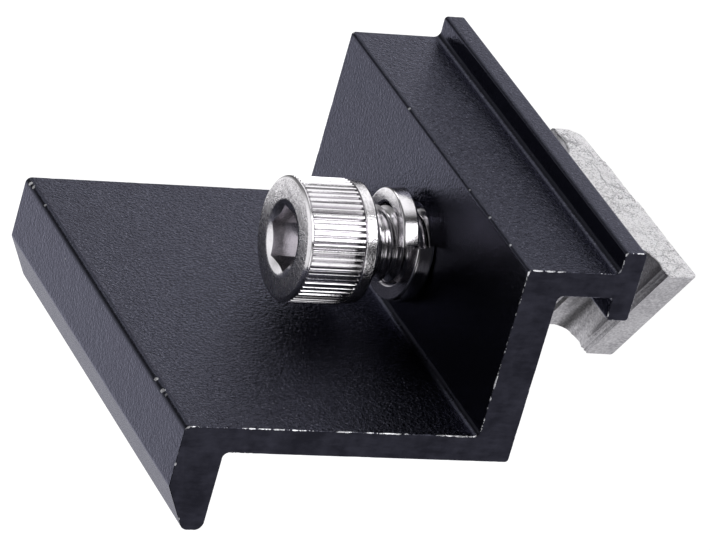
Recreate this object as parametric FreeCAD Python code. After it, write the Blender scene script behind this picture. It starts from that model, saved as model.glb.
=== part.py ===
import FreeCAD, Part
import math
import os

# End clamp for a framed module on a slotted rail. Sizes are in millimetres and degrees.
# The bolt stands on +Z, the clamp is extruded along Y, and z = 0 is the top of the rail.
# The module's edge lies on the -X side of the wall, under the lip.

# Clamp section
CLAMP_LENGTH = 50.0
MODULE_HEIGHT = 40.0
WALL_THICKNESS = 2.9
LIP_THICKNESS = 4.9
LIP_REACH = 9.1
LIP_FLAT = 4.1
LIP_TIP_THICKNESS = 2.2
BASE_HEIGHT = 12.6
BASE_THICKNESS = 4.1
BOLT_TO_WALL = 7.9
BOLT_TO_LEG = 8.7
LEG_THICKNESS = 2.8
FOOT_THICKNESS = 2.4
FOOT_PROJECTION = 2.5

# Rounding of the clamp section
INNER_FILLET = 0.7
LIP_CORNER_RADIUS = 0.45
LIP_TIP_RADIUS = 0.7
EDGE_RADIUS = 0.35

# Cap screw
THREAD_RADIUS = 3.95
SCREW_LENGTH = 30.0
SCREW_END_CHAMFER = 0.8
HEAD_RADIUS = 6.5
HEAD_HEIGHT = 8.0
HEAD_EDGE_BREAK = 0.42
HEAD_EDGE_UPPER_SHARE = 0.33
HEAD_BAND_HEIGHT = 1.4
HEAD_BAND_STEP = 0.08
HEAD_LIFT = 6.5
KNURL_TEETH = 64
KNURL_DEPTH = 0.28
KNURL_CREST_SHARE = 0.45
SOCKET_ACROSS_FLATS = 6.0
SOCKET_AZIMUTH = 30.0
SOCKET_DEPTH = 4.5
SOCKET_MOUTH_STEP = 0.45
SOCKET_MOUTH_DEPTH = 0.4
SOCKET_POINT_DEPTH = 1.0

# Clearances round the screw, as radial gaps
HOLE_CLEARANCE = 0.55
WASHER_CLEARANCE = 0.3
NUT_THREAD_CLEARANCE = 0.05
HOLE_EDGE_BREAK = 0.3

# Split spring washer, a left-hand coil of one turn
WASHER_WIDTH = 1.8
WASHER_THICKNESS = 1.8
WASHER_RISE = 1.8
WASHER_SPLIT_AZIMUTH = -63.0
WASHER_SPLIT_WIDTH = 0.5
WASHER_SPLIT_SLANT = 12.0

# Rail nut, a T section cut off at an angle
NUT_WIDTH = 25.4
NUT_CUT_DISTANCE = 15.8
NUT_CUT_ANGLE = 35.0
NUT_TURN = -35.0
NUT_WING_THICKNESS = 3.6
NUT_NECK_HEIGHT = 3.0
NUT_NECK_WIDTH = 15.8
NUT_NECK_FILLET = 1.5
NUT_LAND_WIDTH = 1.1
NUT_DISH_DEPTH = 0.24
NUT_LAND_GROOVES = 2
NUT_GROOVE_DEPTH = 0.18
NUT_LOWER_EDGE_RADIUS = 0.8
NUT_UPPER_EDGE_RADIUS = 0.3
NUT_DROP = 9.3
NUT_SHIFT_X = 1.2
NUT_SHIFT_Y = 0.5
NUT_MOUTH_CHAMFER = 0.5

# Heights that follow from the sizes above
HEAD_UNDERSIDE = BASE_HEIGHT + HEAD_LIFT
HEAD_TOP = HEAD_UNDERSIDE + HEAD_HEIGHT
SCREW_END = HEAD_UNDERSIDE - SCREW_LENGTH
NUT_HEIGHT = NUT_WING_THICKNESS + NUT_NECK_HEIGHT

# Working lengths for cutting tools, larger than what they cut
TOOL_REACH = 80.0
TOOL_OVERRUN = 1.0

FULL_TURN = 360.0
HALF_TURN = 0.5 * FULL_TURN
QUARTER_TURN = 0.25 * FULL_TURN
HEXAGON_SIDES = 6
HEXAGON_CORNER_RATIO = 1.0 / math.sqrt(3.0)
ORIGIN = FreeCAD.Vector(0.0, 0.0, 0.0)
ALONG_X = FreeCAD.Vector(1.0, 0.0, 0.0)
UP = FreeCAD.Vector(0.0, 0.0, 1.0)


def section_point(x, z):
    return FreeCAD.Vector(x, 0.0, z)


def rounded_wire(corners):
    """Closed wire through corners given as (point, radius), each corner rounded by an arc."""
    spans = []
    count = len(corners)
    for index in range(count):
        before = corners[index - 1][0]
        point, radius = corners[index]
        after = corners[(index + 1) % count][0]
        back = (before - point).normalize()
        ahead = (after - point).normalize()
        half_angle = 0.5 * back.getAngle(ahead)
        setback = radius / math.tan(half_angle)
        start = point + back * setback
        end = point + ahead * setback
        bisector = (back + ahead).normalize()
        middle = point + bisector * (radius / math.sin(half_angle) - radius)
        spans.append((start, middle, end, radius))
    edges = []
    for index in range(count):
        start, middle, end, radius = spans[index]
        if radius > 0.0:
            edges.append(Part.Arc(start, middle, end).toShape())
        following = spans[(index + 1) % count][0]
        edges.append(Part.makeLine(end, following))
    return Part.Wire(edges)


def cone_between(radius_low, radius_high, z_low, z_high):
    base = FreeCAD.Vector(0.0, 0.0, z_low)
    return Part.makeCone(radius_low, radius_high, z_high - z_low, base, UP)


def cylinder_between(radius, z_low, z_high):
    base = FreeCAD.Vector(0.0, 0.0, z_low)
    return Part.makeCylinder(radius, z_high - z_low, base, UP)


# Clamp body: lip, wall, base, leg and foot in one extrusion
def clamp_section():
    wall_inner = -BOLT_TO_WALL
    wall_outer = wall_inner - WALL_THICKNESS
    lip_tip = wall_outer - LIP_REACH
    lip_bend = wall_outer - LIP_FLAT
    leg_inner = BOLT_TO_LEG
    leg_outer = leg_inner + LEG_THICKNESS
    lip_top = MODULE_HEIGHT + LIP_THICKNESS
    tip_top = MODULE_HEIGHT + LIP_TIP_THICKNESS
    base_underside = BASE_HEIGHT - BASE_THICKNESS
    hook_end = leg_inner - FOOT_PROJECTION
    toe_end = leg_outer + FOOT_PROJECTION
    corners = [
        (section_point(lip_bend, lip_top), LIP_CORNER_RADIUS),
        (section_point(wall_inner, lip_top), LIP_CORNER_RADIUS),
        (section_point(wall_inner, BASE_HEIGHT), INNER_FILLET),
        (section_point(leg_outer, BASE_HEIGHT), EDGE_RADIUS),
        (section_point(leg_outer, FOOT_THICKNESS), INNER_FILLET),
        (section_point(toe_end, FOOT_THICKNESS), EDGE_RADIUS),
        (section_point(toe_end, 0.0), EDGE_RADIUS),
        (section_point(hook_end, 0.0), EDGE_RADIUS),
        (section_point(hook_end, FOOT_THICKNESS), EDGE_RADIUS),
        (section_point(leg_inner, FOOT_THICKNESS), EDGE_RADIUS),
        (section_point(leg_inner, base_underside), INNER_FILLET),
        (section_point(wall_outer, base_underside), EDGE_RADIUS),
        (section_point(wall_outer, MODULE_HEIGHT), INNER_FILLET),
        (section_point(lip_tip, MODULE_HEIGHT), LIP_TIP_RADIUS),
        (section_point(lip_tip, tip_top), LIP_TIP_RADIUS),
    ]
    return Part.Face(rounded_wire(corners))


def clamp_body():
    section = clamp_section()
    section.translate(FreeCAD.Vector(0.0, -0.5 * CLAMP_LENGTH, 0.0))
    body = section.extrude(FreeCAD.Vector(0.0, CLAMP_LENGTH, 0.0))
    underside = BASE_HEIGHT - BASE_THICKNESS
    radius = THREAD_RADIUS + HOLE_CLEARANCE
    wide = radius + HOLE_EDGE_BREAK
    hole = cylinder_between(radius, underside - TOOL_OVERRUN, BASE_HEIGHT + TOOL_OVERRUN)
    upper_break = cone_between(radius, wide, BASE_HEIGHT - HOLE_EDGE_BREAK, BASE_HEIGHT)
    lower_break = cone_between(wide, radius, underside, underside + HOLE_EDGE_BREAK)
    return body.cut([hole, upper_break, lower_break])


# Cap screw: knurled head with a hexagon socket, and a shank at the thread's outer size
def knurled_prism(z_low, z_high):
    """Straight-knurled bar: each tooth has a flat crest and a V groove beside it."""
    pitch_angle = 2.0 * math.pi / KNURL_TEETH
    crest_angle = pitch_angle * KNURL_CREST_SHARE
    root_offset = 0.5 * (pitch_angle + crest_angle)
    points = []
    for tooth in range(KNURL_TEETH):
        start = tooth * pitch_angle
        rays = (
            (start, HEAD_RADIUS),
            (start + crest_angle, HEAD_RADIUS),
            (start + root_offset, HEAD_RADIUS - KNURL_DEPTH),
        )
        for angle, radius in rays:
            x = radius * math.cos(angle)
            y = radius * math.sin(angle)
            points.append(FreeCAD.Vector(x, y, z_low))
    points.append(points[0])
    outline = Part.Face(Part.makePolygon(points))
    return outline.extrude(FreeCAD.Vector(0.0, 0.0, z_high - z_low))


def head_blank(z_low):
    """Turned bar with its top edge broken in two steps, which limits the knurl."""
    face_radius = HEAD_RADIUS - HEAD_EDGE_BREAK
    bend_radius = HEAD_RADIUS - HEAD_EDGE_BREAK * HEAD_EDGE_UPPER_SHARE
    bend_z = HEAD_TOP - HEAD_EDGE_BREAK * HEAD_EDGE_UPPER_SHARE
    straight = cylinder_between(HEAD_RADIUS, z_low, HEAD_TOP - HEAD_EDGE_BREAK)
    lower_step = cone_between(HEAD_RADIUS, bend_radius, HEAD_TOP - HEAD_EDGE_BREAK, bend_z)
    upper_step = cone_between(bend_radius, face_radius, bend_z, HEAD_TOP)
    return straight.fuse([lower_step, upper_step]).removeSplitter()


def hexagon_prism(across_flats, z_low, z_high):
    corner_radius = across_flats * HEXAGON_CORNER_RATIO
    points = []
    for side in range(HEXAGON_SIDES + 1):
        angle = math.radians(SOCKET_AZIMUTH + side * FULL_TURN / HEXAGON_SIDES)
        x = corner_radius * math.cos(angle)
        y = corner_radius * math.sin(angle)
        points.append(FreeCAD.Vector(x, y, z_low))
    outline = Part.Face(Part.makePolygon(points))
    return outline.extrude(FreeCAD.Vector(0.0, 0.0, z_high - z_low))


def socket_tools():
    floor = HEAD_TOP - SOCKET_DEPTH
    inner_radius = 0.5 * SOCKET_ACROSS_FLATS
    mouth_radius = SOCKET_ACROSS_FLATS * HEXAGON_CORNER_RATIO + SOCKET_MOUTH_STEP
    hexagon = hexagon_prism(SOCKET_ACROSS_FLATS, floor, HEAD_TOP + TOOL_OVERRUN)
    mouth = cone_between(inner_radius, mouth_radius, HEAD_TOP - SOCKET_MOUTH_DEPTH, HEAD_TOP)
    point = cone_between(0.0, inner_radius, floor - SOCKET_POINT_DEPTH, floor)
    return [hexagon, mouth, point]


def cap_screw():
    band_top = HEAD_UNDERSIDE + HEAD_BAND_HEIGHT
    band_radius = HEAD_RADIUS - HEAD_BAND_STEP
    band = cylinder_between(band_radius, HEAD_UNDERSIDE, band_top)
    knurl = knurled_prism(band_top, HEAD_TOP).common(head_blank(band_top))
    shank_low = SCREW_END + SCREW_END_CHAMFER
    shank = cylinder_between(THREAD_RADIUS, shank_low, HEAD_UNDERSIDE)
    end_radius = THREAD_RADIUS - SCREW_END_CHAMFER
    end = cone_between(end_radius, THREAD_RADIUS, SCREW_END, shank_low)
    screw = band.fuse([knurl, shank, end]).removeSplitter()
    return screw.cut(socket_tools())


# Spring washer: a square-section coil, cut by one slanted slot
def coil_part(start_azimuth, turn, z_start):
    """Left-hand stretch of coil that starts at an azimuth and sinks as it turns."""
    inner = THREAD_RADIUS + WASHER_CLEARANCE
    outer = inner + WASHER_WIDTH
    middle = 0.5 * (inner + outer)
    fall = WASHER_RISE * turn / FULL_TURN
    path = Part.makeHelix(WASHER_RISE, fall, middle, 0.0, True)
    corners = [
        section_point(inner, 0.0),
        section_point(outer, 0.0),
        section_point(outer, WASHER_THICKNESS),
        section_point(inner, WASHER_THICKNESS),
        section_point(inner, 0.0),
    ]
    outline = Part.makePolygon(corners)
    coil = Part.Wire(path.Edges).makePipeShell([outline], True, True)
    coil.rotate(ORIGIN, UP, start_azimuth + turn)
    coil.translate(FreeCAD.Vector(0.0, 0.0, z_start))
    return coil


def split_tool(z_middle):
    """Thin slab across the ring's wall, leaning about the radial line."""
    depth = THREAD_RADIUS + WASHER_CLEARANCE + WASHER_WIDTH + TOOL_OVERRUN
    height = 2.0 * (WASHER_THICKNESS + WASHER_RISE) + TOOL_OVERRUN
    corner = FreeCAD.Vector(0.0, -0.5 * WASHER_SPLIT_WIDTH, -0.5 * height)
    slab = Part.makeBox(depth, WASHER_SPLIT_WIDTH, height, corner)
    slab.rotate(ORIGIN, ALONG_X, WASHER_SPLIT_SLANT)
    slab.rotate(ORIGIN, UP, WASHER_SPLIT_AZIMUTH)
    slab.translate(FreeCAD.Vector(0.0, 0.0, z_middle))
    return slab


def spring_washer():
    middle_radius = THREAD_RADIUS + WASHER_CLEARANCE + 0.5 * WASHER_WIDTH
    lean = math.tan(math.radians(WASHER_SPLIT_SLANT))
    overlap = math.degrees(0.5 * lean * WASHER_THICKNESS / middle_radius)
    turn = HALF_TURN + overlap
    rise = WASHER_RISE * turn / FULL_TURN
    z_low = BASE_HEIGHT
    lower = coil_part(WASHER_SPLIT_AZIMUTH + HALF_TURN, turn, z_low)
    upper = coil_part(WASHER_SPLIT_AZIMUTH - overlap, turn, z_low + rise)
    tool = split_tool(z_low + WASHER_THICKNESS)
    return lower.cut(tool).fuse(upper.cut(tool))


# Rail nut: wings go under the rail's lips, the neck stands in its slot
def wing_top(edge_x, land_z):
    """Wing top and neck side for +X, from the outer edge inwards, as edges."""
    neck_x = 0.5 * NUT_NECK_WIDTH
    top_z = NUT_HEIGHT
    land_inner = edge_x - NUT_LAND_WIDTH
    fillet_x = neck_x + NUT_NECK_FILLET
    fillet_z = land_z + NUT_NECK_FILLET
    edges = []
    step = NUT_LAND_WIDTH / NUT_LAND_GROOVES
    x = edge_x
    while x > land_inner + 0.5 * step:
        high = section_point(x, land_z)
        low = section_point(x - 0.5 * step, land_z - NUT_GROOVE_DEPTH)
        following = section_point(x - step, land_z)
        edges.append(Part.makeLine(high, low))
        edges.append(Part.makeLine(low, following))
        x = x - step
    land_end = section_point(land_inner, land_z)
    dish_end = section_point(fillet_x, land_z)
    dish_middle = section_point(0.5 * (land_inner + fillet_x), land_z - NUT_DISH_DEPTH)
    edges.append(Part.Arc(land_end, dish_middle, dish_end).toShape())
    neck_foot = section_point(neck_x, fillet_z)
    diagonal = NUT_NECK_FILLET * (1.0 - math.sqrt(0.5))
    bend = section_point(neck_x + diagonal, land_z + diagonal)
    edges.append(Part.Arc(dish_end, bend, neck_foot).toShape())
    break_z = top_z - NUT_UPPER_EDGE_RADIUS
    neck_top = section_point(neck_x, break_z)
    neck_inner = section_point(neck_x - NUT_UPPER_EDGE_RADIUS, top_z)
    edges.append(Part.makeLine(neck_foot, neck_top))
    edges.append(Part.makeLine(neck_top, neck_inner))
    edges.append(Part.makeLine(neck_inner, section_point(0.0, top_z)))
    return edges


def nut_half_section():
    edge_x = 0.5 * NUT_WIDTH
    radius = NUT_LOWER_EDGE_RADIUS
    diagonal = radius * (1.0 - math.sqrt(0.5))
    middle_low = section_point(0.0, 0.0)
    arc_start = section_point(edge_x - radius, 0.0)
    arc_middle = section_point(edge_x - diagonal, diagonal)
    arc_end = section_point(edge_x, radius)
    side_top = section_point(edge_x, NUT_WING_THICKNESS)
    edges = [
        Part.makeLine(middle_low, arc_start),
        Part.Arc(arc_start, arc_middle, arc_end).toShape(),
        Part.makeLine(arc_end, side_top),
    ]
    edges.extend(wing_top(edge_x, NUT_WING_THICKNESS))
    edges.append(Part.makeLine(section_point(0.0, NUT_HEIGHT), middle_low))
    return Part.Face(Part.Wire(edges))


def rail_nut():
    half = nut_half_section()
    half.translate(FreeCAD.Vector(0.0, -0.5 * TOOL_REACH, 0.0))
    right = half.extrude(FreeCAD.Vector(0.0, TOOL_REACH, 0.0))
    left = right.mirror(ORIGIN, ALONG_X)
    bar = right.fuse(left).removeSplitter()
    bar.rotate(ORIGIN, UP, QUARTER_TURN)
    corner = FreeCAD.Vector(-0.5 * NUT_CUT_DISTANCE, -0.5 * TOOL_REACH, -TOOL_OVERRUN)
    slab_height = NUT_HEIGHT + 2.0 * TOOL_OVERRUN
    slab = Part.makeBox(NUT_CUT_DISTANCE, TOOL_REACH, slab_height, corner)
    slab.rotate(ORIGIN, UP, NUT_CUT_ANGLE)
    nut = bar.common(slab)
    nut.rotate(ORIGIN, UP, NUT_TURN)
    nut.translate(FreeCAD.Vector(NUT_SHIFT_X, NUT_SHIFT_Y, 0.0))
    radius = THREAD_RADIUS + NUT_THREAD_CLEARANCE
    wide = radius + NUT_MOUTH_CHAMFER
    bore = cylinder_between(radius, -TOOL_OVERRUN, NUT_HEIGHT + TOOL_OVERRUN)
    lower_mouth = cone_between(wide, radius, 0.0, NUT_MOUTH_CHAMFER)
    upper_mouth = cone_between(radius, wide, NUT_HEIGHT - NUT_MOUTH_CHAMFER, NUT_HEIGHT)
    nut = nut.cut([bore, lower_mouth, upper_mouth])
    nut.translate(FreeCAD.Vector(0.0, 0.0, -NUT_DROP))
    return nut


NODES = {
    "clamp_body": clamp_body,
    "cap_screw": cap_screw,
    "spring_washer": spring_washer,
    "rail_nut": rail_nut,
}

os.makedirs("parts", exist_ok=True)
for node_name, build_node in NODES.items():
    solid = build_node()
    if solid.ShapeType == "Compound" and len(solid.Solids) == 1:
        solid = solid.Solids[0]
    solid.exportStep("parts/" + node_name + ".step")
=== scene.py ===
import math

import bmesh
import bpy
import numpy as np
from mathutils import Matrix, Vector, noise


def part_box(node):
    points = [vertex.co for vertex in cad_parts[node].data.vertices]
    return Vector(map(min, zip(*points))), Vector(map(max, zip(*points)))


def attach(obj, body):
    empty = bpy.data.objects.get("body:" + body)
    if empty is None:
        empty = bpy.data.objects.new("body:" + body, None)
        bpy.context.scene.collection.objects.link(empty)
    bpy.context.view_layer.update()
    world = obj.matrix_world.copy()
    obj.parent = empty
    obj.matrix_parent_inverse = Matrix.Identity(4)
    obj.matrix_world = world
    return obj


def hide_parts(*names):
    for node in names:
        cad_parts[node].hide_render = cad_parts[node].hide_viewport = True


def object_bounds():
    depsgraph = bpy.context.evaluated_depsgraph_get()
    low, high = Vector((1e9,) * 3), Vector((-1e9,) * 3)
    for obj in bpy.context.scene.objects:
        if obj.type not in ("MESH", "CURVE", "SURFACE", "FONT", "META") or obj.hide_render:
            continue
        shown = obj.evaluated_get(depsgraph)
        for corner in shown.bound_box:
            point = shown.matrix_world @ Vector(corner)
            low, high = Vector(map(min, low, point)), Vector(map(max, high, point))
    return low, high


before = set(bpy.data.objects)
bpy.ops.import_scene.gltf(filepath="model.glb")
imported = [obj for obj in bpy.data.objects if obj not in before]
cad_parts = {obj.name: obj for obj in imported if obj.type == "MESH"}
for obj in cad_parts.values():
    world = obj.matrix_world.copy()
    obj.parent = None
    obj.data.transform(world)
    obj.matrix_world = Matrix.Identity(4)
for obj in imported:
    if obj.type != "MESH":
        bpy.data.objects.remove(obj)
CAD_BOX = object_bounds()

MM = 0.001
MM_PER_METRE = 1000.0
FULL_TURN = 2.0 * math.pi
CLAMP_LOW, CLAMP_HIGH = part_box("clamp_body")
SCREW_LOW, SCREW_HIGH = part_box("cap_screw")
WASHER_LOW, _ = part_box("spring_washer")
NUT_LOW, NUT_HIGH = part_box("rail_nut")

# Clamp section, in metres
WALL_THICKNESS = 2.9 * MM
LIP_THICKNESS = 4.9 * MM
LIP_REACH = 9.1 * MM
LIP_FLAT = 4.1 * MM
LIP_TIP_THICKNESS = 2.2 * MM
BASE_HEIGHT = 12.6 * MM
BASE_THICKNESS = 4.1 * MM
LEG_THICKNESS = 2.8 * MM
FOOT_THICKNESS = 2.4 * MM
FOOT_PROJECTION = 2.5 * MM
INNER_FILLET = 0.7 * MM
LIP_CORNER_RADIUS = 0.62 * MM
LIP_TIP_RADIUS = 0.92 * MM
EDGE_RADIUS = 0.35 * MM
HOLE_RADIUS = 4.5 * MM
HOLE_EDGE_BREAK = 0.3 * MM
END_EDGE_BREAK = 0.06 * MM

# Where the wall, base and leg stand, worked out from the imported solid
LIP_TIP_X = CLAMP_LOW.x
WALL_OUTER_X = LIP_TIP_X + LIP_REACH
WALL_INNER_X = WALL_OUTER_X + WALL_THICKNESS
LIP_BEND_X = WALL_OUTER_X - LIP_FLAT
TOE_X = CLAMP_HIGH.x
LEG_OUTER_X = TOE_X - FOOT_PROJECTION
LEG_INNER_X = LEG_OUTER_X - LEG_THICKNESS
HOOK_X = LEG_INNER_X - FOOT_PROJECTION
LIP_TOP_Z = CLAMP_HIGH.z
LIP_UNDER_Z = LIP_TOP_Z - LIP_THICKNESS
BASE_UNDER_Z = BASE_HEIGHT - BASE_THICKNESS

# Corners of the clamp's section: (x, z, radius)
CLAMP_CORNERS = [
    (LIP_BEND_X, LIP_TOP_Z, LIP_CORNER_RADIUS),
    (WALL_INNER_X, LIP_TOP_Z, LIP_CORNER_RADIUS),
    (WALL_INNER_X, BASE_HEIGHT, INNER_FILLET),
    (LEG_OUTER_X, BASE_HEIGHT, EDGE_RADIUS),
    (LEG_OUTER_X, FOOT_THICKNESS, INNER_FILLET),
    (TOE_X, FOOT_THICKNESS, EDGE_RADIUS),
    (TOE_X, 0.0, EDGE_RADIUS),
    (HOOK_X, 0.0, EDGE_RADIUS),
    (HOOK_X, FOOT_THICKNESS, EDGE_RADIUS),
    (LEG_INNER_X, FOOT_THICKNESS, EDGE_RADIUS),
    (LEG_INNER_X, BASE_UNDER_Z, INNER_FILLET),
    (WALL_OUTER_X, BASE_UNDER_Z, EDGE_RADIUS),
    (WALL_OUTER_X, LIP_UNDER_Z, INNER_FILLET),
    (LIP_TIP_X, LIP_UNDER_Z, LIP_TIP_RADIUS),
    (LIP_TIP_X, LIP_UNDER_Z + LIP_TIP_THICKNESS, LIP_TIP_RADIUS),
]

# Spacing of the clamp's mesh, and the angle above which its edges stay sharp
CORNER_STEPS = 8
SECTION_STEP = 0.32 * MM
ROW_REACH_MM = 23.5
ROW_STEP_MM = 1.0
HOLE_COLUMNS = 96
CUTTER_OVERLAP = 1.0 * MM
HOLE_MERGE = 0.002 * MM
CLAMP_SHARP_DEGREES = 28.0

# Rows of the mesh at the clamp's cut ends, as distances from the end
END_FACE_ROW = 0.005 * MM
END_ROW_GAP = 0.06 * MM
END_PLAIN_ROW = 0.6 * MM
END_CLEARANCE = 0.7 * MM

# Chips along the cut ends' edges: side of the end, number, seed and share of the full depth
END_CHIPS = ((-1.0, 80, 5, 1.0), (1.0, 40, 9, 0.4))
CHIP_WIDTH_LIMITS = (0.15, 0.9)
CHIP_WIDTH_POWER = 1.5
CHIP_DEPTH_LIMITS = (0.3, 1.0)
CHIP_INTO_FACE = 0.05 * MM
CHIP_ALONG_CLAMP = 0.06 * MM
CHIP_UNDERCUT = 0.04 * MM
CHIPS_PER_WEAR = 2.0

# How bare an end edge is rubbed: where hidden, where it faces the screw, on level faces
WEAR_HIDDEN = 0.16
WEAR_INNER = 0.47
WEAR_LEVEL = 0.42
WEAR_OF_CHIP = 0.45
WEAR_OF_FACE_ROW = 0.9
LEAST_END_WEAR = 0.4
FACES_AXIS = 0.3

# A face is flat where its normal lies this close to an axis or to the lip's slope
FLAT_NORMAL = 0.985
SLOPE_NORMAL_GAP = 0.03

# Small chips on long edges: (x, y, z, size), all in millimetres
EDGE_CHIPS = [
    (-8.08, 24.0, 44.72, 0.30),
    (-8.08, 23.1, 44.72, 0.26),
    (-8.08, 19.3, 44.72, 0.22),
    (-8.08, -15.6, 44.72, 0.38),
    (-8.08, -17.8, 44.72, 0.36),
    (-8.08, -18.7, 44.72, 0.26),
    (11.4, 24.7, 12.5, 0.30),
    (11.4, 8.4, 12.5, 0.22),
    (11.4, 1.3, 12.5, 0.14),
    (11.4, -8.6, 12.5, 0.16),
    (11.4, -14.2, 12.5, 0.24),
    (11.4, -19.8, 12.5, 0.16),
]
EDGE_CHIP_ROWS_MM = (-0.36, -0.24, -0.12, 0.0, 0.12, 0.24, 0.36)
EDGE_CHIP_DEPTH = 0.05 * MM
EDGE_CHIP_BARE = 1.6

# Cap screw
HEAD_RADIUS = SCREW_HIGH.x
HEAD_HEIGHT = 8.0 * MM
HEAD_TOP = SCREW_HIGH.z
HEAD_UNDERSIDE = HEAD_TOP - HEAD_HEIGHT
HEAD_EDGE_BREAK = 0.36 * MM
FACE_CROWN = 0.10 * MM
FACE_RINGS = (0.1, 0.25, 0.4, 0.6, 0.8, 0.96, 1.0)
BAND_HEIGHT = 1.4 * MM
BAND_STEP = 0.08 * MM
BAND_CHAMFER = 0.2 * MM
BAND_DULLNESS = 0.6
KNURL_TEETH = 64
KNURL_DEPTH = 0.26 * MM
KNURL_START = 0.30 * MM
KNURL_ROWS = 8
KNURL_WAVE = 0.25
KNURL_WAVE_SCALE = 9.0
KNURL_WAVE_SEED = 0.3
RIM_GROOVE_DEPTH = 0.13 * MM
# Share of painted shade in the rim groove
RIM_GROOVE_SHADE = 0.8
COLLAR_NOTCH_DEPTH = 0.42 * MM
COLLAR_NOTCH_WIDTH = 0.20 * MM
SOCKET_FLATS = 6.0 * MM
SOCKET_DEPTH = 4.5 * MM
SOCKET_AZIMUTH = math.radians(30.0)
SOCKET_MOUTH_STEP = 0.40 * MM
SOCKET_MOUTH_SLOPE = 0.44
SOCKET_MOUTH_ROUND = 0.05 * MM
SOCKET_POINT = 1.0 * MM
CORNER_ROW = 0.03 * MM
GROOVE_END = 0.07 * MM
KNURL_LAST_ROW = 0.30 * MM
BAND_TOP_ROUND = 0.05 * MM
BAND_TOP_FALL = 0.01 * MM
BAND_DULL_TOP = 0.12 * MM
BAND_DULL_END = 0.08 * MM
UNDERSIDE_RINGS = (0.9 * MM, 0.25 * MM)
SCREW_MERGE = 0.004 * MM
SCREW_SHARP_DEGREES = 32.0

# Depth of the knurl's groove at each column of one tooth: a flat crest, then a V groove
KNURL_TOOTH = np.array([0.0, 0.0, 0.0, 0.0, 0.06, 0.55, 1.0, 1.0, 0.5])

# Edge break of the head's face: (inwards, downwards) shares of the break
EDGE_PROFILE = [
    (0.97, 0.02), (0.83, 0.08), (0.64, 0.22), (0.47, 0.38),
    (0.31, 0.55), (0.16, 0.74), (0.06, 0.88), (0.0, 1.0),
]

# Thread of the screw
THREAD_RADIUS = 3.95 * MM
THREAD_PITCH = 1.25 * MM
THREAD_DEPTH = 0.7 * MM
THREAD_COLUMNS = 144
THREAD_START = 0.2 * MM
THREAD_FADE = 0.8 * THREAD_PITCH
NECK_STEP = 0.12 * MM
END_CHAMFER = 0.8 * MM

# Thread form over one pitch as (share of the pitch, share of the depth), and where rows run
THREAD_FORM = np.array([
    (0.0, 0.06), (0.03, 0.0), (0.11, 0.0), (0.14, 0.06), (0.42, 0.90),
    (0.48, 0.98), (0.57, 1.0), (0.66, 0.98), (0.72, 0.90), (1.0, 0.06),
])
THREAD_STATIONS = [0.0, 0.03, 0.11, 0.14, 0.28, 0.42, 0.48, 0.57, 0.66, 0.72, 0.86]

# Spring washer
WASHER_INNER = 4.25 * MM
WASHER_SECTION = 1.8 * MM
WASHER_RISE = 1.8 * MM
WASHER_EDGE = 0.24 * MM
WASHER_CORNER_STEPS = 5
WASHER_FLAT_STEP = 0.2 * MM
WASHER_GUARD = 0.04 * MM
WASHER_TURN_STEPS = 132
WASHER_SHARP_DEGREES = 35.0
RIM_TAPER = 0.22 * MM
SPLIT_AZIMUTH = -63.0
SPLIT_WIDTH = 0.5 * MM
SPLIT_SLANT = 12.0

# Rail nut
NUT_BAR_TURN = math.radians(-35.0)
NUT_RIM_WIDTH = 0.16 * MM
NUT_RIM_REACH = NUT_RIM_WIDTH + 0.01 * MM
NUT_RIM_SHARE = 0.5
NUT_MERGE = 0.002 * MM
NUT_FLAT_DEGREES = 0.5
NUT_END_NORMAL = 0.99
NUT_FACE_STEP = 0.36 * MM
NUT_CUT_TOLERANCE = 1e-7
NUT_SHARP_DEGREES = 30.0

# Ridge left by the tearing on the sawn +X end, as (y, z) in millimetres
TEAR_LINE = [
    (3.9, -7.35), (1.5, -7.25), (-0.6, -7.2), (-1.8, -7.0),
    (-2.9, -7.9), (-4.0, -8.5), (-5.3, -9.4),
]
TEAR_ROW_GAP = 0.05
FAR_FROM_TEAR = 9.0

# How far the sawn ends are pushed in, in millimetres, and the noise that roughens them
SAW_DEPTH = 0.05
SAW_WAVE = 0.05
SAW_NOISE_SCALE = 1.3
SAW_NOISE_SHIFT = 7.0
SAW_NOISE_FORM = (0.7, 2.2, 4)
TORN_CORNER_DEPTH = 0.5
TEAR_DEPTH = 0.14
TEAR_WAVE = 0.16


def finish_mesh(obj, sharp_degrees):
    obj.data.shade_smooth()
    obj.data.set_sharp_from_angle(angle=math.radians(sharp_degrees))


def link_object(name, mesh):
    obj = bpy.data.objects.new(name, mesh)
    bpy.context.scene.collection.objects.link(obj)
    return obj


def make_object(name, verts, faces):
    mesh = bpy.data.meshes.new(name)
    mesh.from_pydata([tuple(v) for v in verts], [], faces)
    mesh.validate()
    return link_object(name, mesh)


def recalc(obj, merge=0.0):
    """Turns all faces outwards, after joining vertices that lie closer than merge."""
    bm = bmesh.new()
    bm.from_mesh(obj.data)
    if merge > 0.0:
        bmesh.ops.remove_doubles(bm, verts=bm.verts, dist=merge)
        bmesh.ops.dissolve_degenerate(bm, edges=bm.edges, dist=0.5 * merge)
    bmesh.ops.recalc_face_normals(bm, faces=bm.faces)
    bm.to_mesh(obj.data)
    bm.free()


def store_shares(obj, name, values):
    """Stores one number per vertex, which a material reads by that name."""
    attribute = obj.data.attributes.new(name, "FLOAT", "POINT")
    attribute.data.foreach_set("value", values.reshape(-1).astype(np.float32))


def closed_tube(rings, count):
    """Faces of a tube through rings of count vertices each, with its two ends closed."""
    faces = []
    for row in range(rings - 1):
        low, high = row * count, (row + 1) * count
        for column in range(count):
            following = (column + 1) % count
            faces.append((low + column, low + following, high + following, high + column))
    last = (rings - 1) * count
    faces.append(tuple(range(count)))
    faces.append(tuple(last + column for column in reversed(range(count))))
    return faces


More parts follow.
